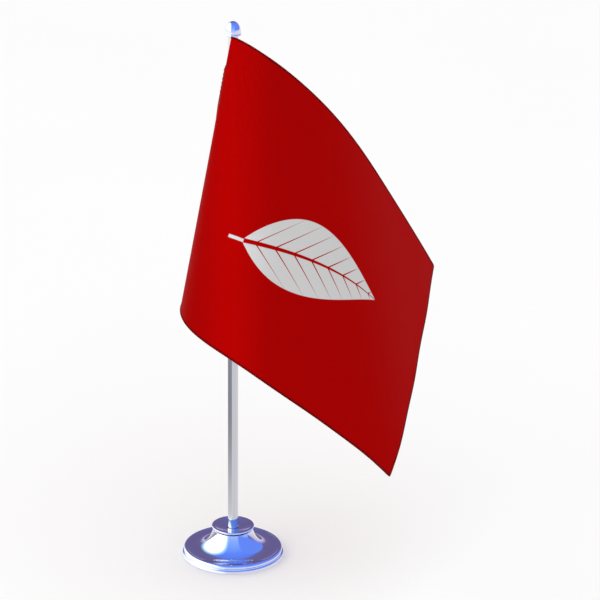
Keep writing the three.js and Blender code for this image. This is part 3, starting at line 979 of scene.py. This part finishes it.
def edge_thread(name, hang, thickness):
    """The overlocked edge: a flat oval section, carried along the three free edges, whose surface
    rises and falls with the thread's turns, rho(s, a) = 1 + k cos(2 pi s / pitch + a)."""
    path, reach = border_path(3400)
    along, down = path[:, 0], path[:, 1]
    normal = hung_normal(hang, along, down)
    points = hung_point(hang, along, down) + cloth_relief(along, down)[:, None] * normal
    forward = unit(np.gradient(points, axis=0))
    inwards = np.cross(normal, forward)
    centre_pull = hung_point(hang, np.full(1, 110.0), np.full(1, 75.0)) - points
    inwards *= np.sign((inwards * centre_pull).sum(1))[:, None]
    angle = np.linspace(0, 2 * math.pi, 13)[None]
    turns = 2 * math.pi * reach[:, None] / OVERLOCK_PITCH
    swell = 1 + 0.16 * np.cos(turns + angle)
    half_width, half_height = 0.62, thickness / MM / 2 + 0.24
    offset_in = (half_width * np.cos(angle) * swell + 0.28)[..., None] * inwards[:, None]
    offset_up = (half_height * np.sin(angle) * swell)[..., None] * normal[:, None]
    grid = points[:, None] + offset_in + offset_up
    grid[:, -1] = grid[:, 0]
    return surface(name, capped(grid), 60)


def seam_stitches(name, hang, settings):
    """The pocket's lockstitches, on both faces: short rounded beads along the seam, each
    c + t L x + r(x) (n cos a + b sin a), with r(x) closing to nothing at both ends."""
    down = np.arange(POCKET_DROP + 2.0, HOIST - 1.5, settings.stitch_pitch)
    half = settings.stitch_pitch * 0.42
    along = seam_along(down, settings.seam_distance) + 0.9 * seam_along(down, 1.0)

    def placed(shift):
        return hung_point(hang, along, down + shift)

    direction = unit(placed(half) - placed(-half))
    normal = hung_normal(hang, along, down)
    across = np.cross(normal, direction)
    ends = np.linspace(-1, 1, 9)
    angle = np.linspace(0, 2 * math.pi, 9)
    thick = 0.19 * np.sqrt(np.clip(1 - ends**4, 0, 1))
    sides = []
    for side, layers in ((1, 0.5), (-1, 1.65)):
        centre = placed(0) + side * (settings.thickness / MM * layers + 0.02) * normal
        ring = np.cos(angle)[:, None] * normal[:, None] + np.sin(angle)[:, None] * across[:, None]
        lift = 0.05 * np.cos(ends * math.pi / 2)[:, None, None] * side * normal[:, None, None]
        sides.append(
            centre[:, None, None]
            + ends[:, None, None] * half * direction[:, None, None]
            + thick[:, None, None] * ring[:, None]
            + lift
        )
    beads = np.concatenate(sides)
    beads[:, :, -1] = beads[:, :, 0]
    return surface(name, beads, 60)


class FLAGSTAND_OT_flag(bpy.types.Operator):
    """Makes the flag: one cloth that passes round the pole as a sewn pocket and hangs as a panel,
    with its overlocked edges and the pocket's stitching."""

    bl_idname = "flagstand.flag"
    bl_label = "Flag"

    def execute(self, context):
        settings = context.scene.flag_stand_flag
        hang = hang_cloth()
        down = np.linspace(0, HOIST, 121)
        pocket = pocket_points(hang, down, settings)
        share = np.linspace(0, 1, 171) ** 1.35
        along, rows = np.meshgrid(FLY * share, down)
        panel = hung_point(hang, along, rows)
        panel += cloth_relief(along, rows)[..., None] * hung_normal(hang, along, rows)
        lowest_row = np.concatenate([pocket[-1], panel[-1, :1]])
        steps = np.linalg.norm(np.diff(lowest_row, axis=0), axis=1)
        before = -np.cumsum(steps[::-1])[::-1]
        pocket, pocket_rows = cut_away(pocket, down, -before)
        points = np.concatenate([pocket, panel], axis=1)
        pocket_length = float(-before[0])
        flat_along = np.concatenate([before + 0 * rows[:, :1], along], axis=1)
        flat_down = np.concatenate([pocket_rows, rows], axis=1)
        uv = np.stack([(flat_along + pocket_length) / (FLY + pocket_length), 1 - flat_down / HOIST], -1)
        cloth = surface("flag", points, 80, uv, closed=False)
        wall = cloth.modifiers.new("thickness", "SOLIDIFY")
        wall.thickness = settings.thickness
        wall.offset = 0.0
        made = flag_cloth(settings, pocket_length)
        dress(cloth, made, "flag", "flag_cloth", "flag_panel", "hoist_sleeve")
        edging = edge_thread("edge_overlock", hang, settings.thickness)
        dark_red = thread("edge_thread", (0.15, 0.001, 0.001))
        dress(edging, dark_red, "flag", "flag_cloth")
        stitches = seam_stitches("pocket_stitches", hang, settings)
        dress(stitches, thread("seam_thread", (0.3, 0.004, 0.004)), "flag", "flag_cloth")
        for piece in (cloth, edging, stitches):
            piece.visible_glossy = False
        return {"FINISHED"}


# ---- The stage ----


def studio_sky(world, ambient):
    """Even pale light for the cloth and the floor, and a coloured studio for what shines: round the X
    axis from the far horizon over the top to the near one, it runs from violet shade to blue sky,
    with a white window to the left and more blue to the right."""
    nodes = Nodes(world.node_tree)
    times, smooth = nodes.times, nodes.smooth
    direction = nodes.add("ShaderNodeTexCoord", output="Generated")
    split = nodes.add("ShaderNodeSeparateXYZ", {0: direction}).node
    x, y, z = split.outputs
    turn = nodes.scaled(nodes.math("ARCTAN2", z, y), 0.5 / math.pi, 0.5)
    around = nodes.ramp(
        turn,
        [
            (0.0, (0.52, 0.66, 1.05)), (0.035, (0.78, 0.78, 0.84)), (0.25, (0.84, 0.84, 0.86)),
            (0.46, (0.82, 0.81, 0.87)), (0.503, (0.60, 0.52, 0.76)), (0.535, (0.17, 0.14, 0.31)),
            (0.575, (0.15, 0.125, 0.29)), (0.655, (0.16, 0.14, 0.34)), (0.69, (0.12, 0.24, 0.95)),
            (0.80, (0.14, 0.29, 1.05)), (0.90, (0.22, 0.42, 1.1)), (0.95, (0.3, 0.5, 1.1)),
            (1.0, (0.52, 0.66, 1.05)),
        ],
    )
    above = smooth(z, -0.1, 0.02)
    cyan = times(smooth(x, -0.33, -0.50), above)
    white = times(smooth(x, -0.46, -0.62), above)
    right = times(smooth(x, 0.42, 0.52), smooth(z, 0.06, 0.16))
    below = times(smooth(x, -0.2, -0.4), smooth(z, -0.1, -0.2))
    shine = nodes.mixed(right, around, (0.15, 0.29, 1.0, 1))
    shine = nodes.mixed(cyan, shine, (0.45, 0.85, 1.1, 1))
    shine = nodes.mixed(white, shine, (1.6, 1.6, 1.65, 1))
    shine = nodes.mixed(below, shine, (1.2, 1.2, 1.23, 1))
    path = nodes.add("ShaderNodeLightPath").node
    lit = nodes.mixed(path.outputs["Is Glossy Ray"], (ambient, ambient, ambient, 1), shine)
    colour = nodes.mixed(path.outputs["Is Camera Ray"], lit, (0.985, 0.985, 0.985, 1))
    sky = nodes.add("ShaderNodeBackground", {"Color": colour, "Strength": 1.0})
    nodes.add("ShaderNodeOutputWorld", {"Surface": sky})


def shade_card(name):
    """A dark card lying at the left, seen only in the plating, that fades near the base and far out."""
    card = turned(name, [(0, -1), (650, -1)], 96, 40.0)
    made, nodes, place = new_material(name)
    times, smooth = nodes.times, nodes.smooth
    split = nodes.add("ShaderNodeSeparateXYZ", {0: place}).node
    x, y = split.outputs[:2]
    across = nodes.math("ADD", times(x, x), times(y, y))
    radius = nodes.math("SQRT", across)
    clear_of_base = smooth(radius, 0.045, 0.065)
    ring = times(smooth(radius, -0.1, 0.24), smooth(radius, 0.6, 0.5))
    ring = times(ring, clear_of_base)
    left = smooth(nodes.math("DIVIDE", x, nodes.math("MAXIMUM", radius, 0.01)), -0.25, -0.5)
    lit = nodes.add("ShaderNodeEmission", {"Color": (0.33, 0.33, 0.38, 1), "Strength": 1.0})
    clear = nodes.add("ShaderNodeBsdfTransparent")
    share = times(ring, left)
    seen = nodes.add("ShaderNodeMixShader", {0: share, 1: clear, 2: lit})
    nodes.add("ShaderNodeOutputMaterial", {"Surface": seen})
    card.data.materials.append(made)
    for ray in ("camera", "diffuse", "transmission", "shadow"):
        setattr(card, f"visible_{ray}", False)


def soft_light(name, place, aim, size, power, spread=180.0):
    """A soft light, wide by tall, that the plating doesn't mirror. A small spread makes it a beam."""
    data = bpy.data.lights.new(name, "AREA")
    data.shape = "RECTANGLE"
    data.size, data.size_y = size
    data.energy = power
    data.spread = math.radians(spread)
    light = bpy.data.objects.new(name, data)
    light.location = place
    light.rotation_euler = (Vector(aim) - Vector(place)).to_track_quat("-Z", "Y").to_euler()
    light.visible_glossy = False
    light.visible_camera = False
    bpy.context.scene.collection.objects.link(light)


class FLAGSTAND_OT_stage(bpy.types.Operator):
    """Makes the camera, the pale floor, the surroundings, two soft lights and the shade card."""

    bl_idname = "flagstand.stage"
    bl_label = "Stage"

    def execute(self, context):
        settings = context.scene.flag_stand_stage
        scene = context.scene
        data = bpy.data.cameras.new("camera")
        data.lens = 200.4
        data.sensor_width = 36.0
        data.shift_x = 0.1117
        data.clip_end = 50.0
        camera = bpy.data.objects.new("camera", data)
        camera.location = (0.0, -1.805, 0.861)
        camera.rotation_euler = (math.radians(68.835), 0.0, 0.0)
        scene.collection.objects.link(camera)
        scene.camera = camera
        scene.view_settings.view_transform = "Standard"
        scene.view_settings.look = "None"
        world = bpy.data.worlds.new("studio")
        world.use_nodes = True
        scene.world = world
        studio_sky(world, settings.ambient)
        world.cycles.sampling_method = "NONE"
        floor = turned("floor", [(0, 0), (4000, 0)], 96, 400.0)
        made, nodes, place = new_material("floor_paper")
        nodes.shade(
            Base_Color=tinted(nodes, nodes.noise(place, 3.0), settings.floor_grey, 0.995, 1.005),
            Roughness=0.9,
            Specular_IOR_Level=0.0,
        )
        floor.data.materials.append(made)
        floor.visible_glossy = False
        aim = (0.0, 0.0, 0.2)
        soft_light("side_light", (-0.95, -0.75, 0.75), aim, (0.5, 0.5), settings.key_power)
        middle = (-0.0015, -0.6, 0.235)
        ahead = (-0.0015, 0.0, 0.235)
        soft_light("band_light", middle, ahead, (0.008, 0.26), settings.band_power, 5.2)
        shade_card("pole_shade")
        return {"FINISHED"}


class FLAGSTAND_PT_parts(bpy.types.Panel):
    """Lists the pieces of the flag stand and their settings."""

    bl_idname = "FLAGSTAND_PT_parts"
    bl_label = "Flag Stand"
    bl_space_type = "VIEW_3D"
    bl_region_type = "UI"
    bl_category = "Flag Stand"

    def draw(self, context):
        for maker in MAKERS:
            self.layout.operator(maker.bl_idname)
        for group in GROUPS:
            box = self.layout.box()
            settings = getattr(context.scene, group)
            for name in settings.__annotations__:
                box.prop(settings, name)


MAKERS = (
    FLAGSTAND_OT_stage,
    FLAGSTAND_OT_base,
    FLAGSTAND_OT_fastening,
    FLAGSTAND_OT_pole,
    FLAGSTAND_OT_finial,
    FLAGSTAND_OT_flag,
)
GROUPS = {
    "flag_stand_metal": StandMetalSettings,
    "flag_stand_flag": StandFlagSettings,
    "flag_stand_stage": StandStageSettings,
}
CLASSES = (*GROUPS.values(), *MAKERS, FLAGSTAND_PT_parts)


def register():
    for new_class in CLASSES:
        bpy.utils.register_class(new_class)
    for name, group in GROUPS.items():
        setattr(bpy.types.Scene, name, PointerProperty(type=group))


def unregister():
    for name in GROUPS:
        delattr(bpy.types.Scene, name)
    for old_class in reversed(CLASSES):
        bpy.utils.unregister_class(old_class)


def main():
    register()
    bpy.ops.flagstand.stage()
    bpy.ops.flagstand.base()
    bpy.ops.flagstand.fastening()
    bpy.ops.flagstand.pole()
    bpy.ops.flagstand.finial()
    bpy.ops.flagstand.flag()


if __name__ == "__main__":
    main()
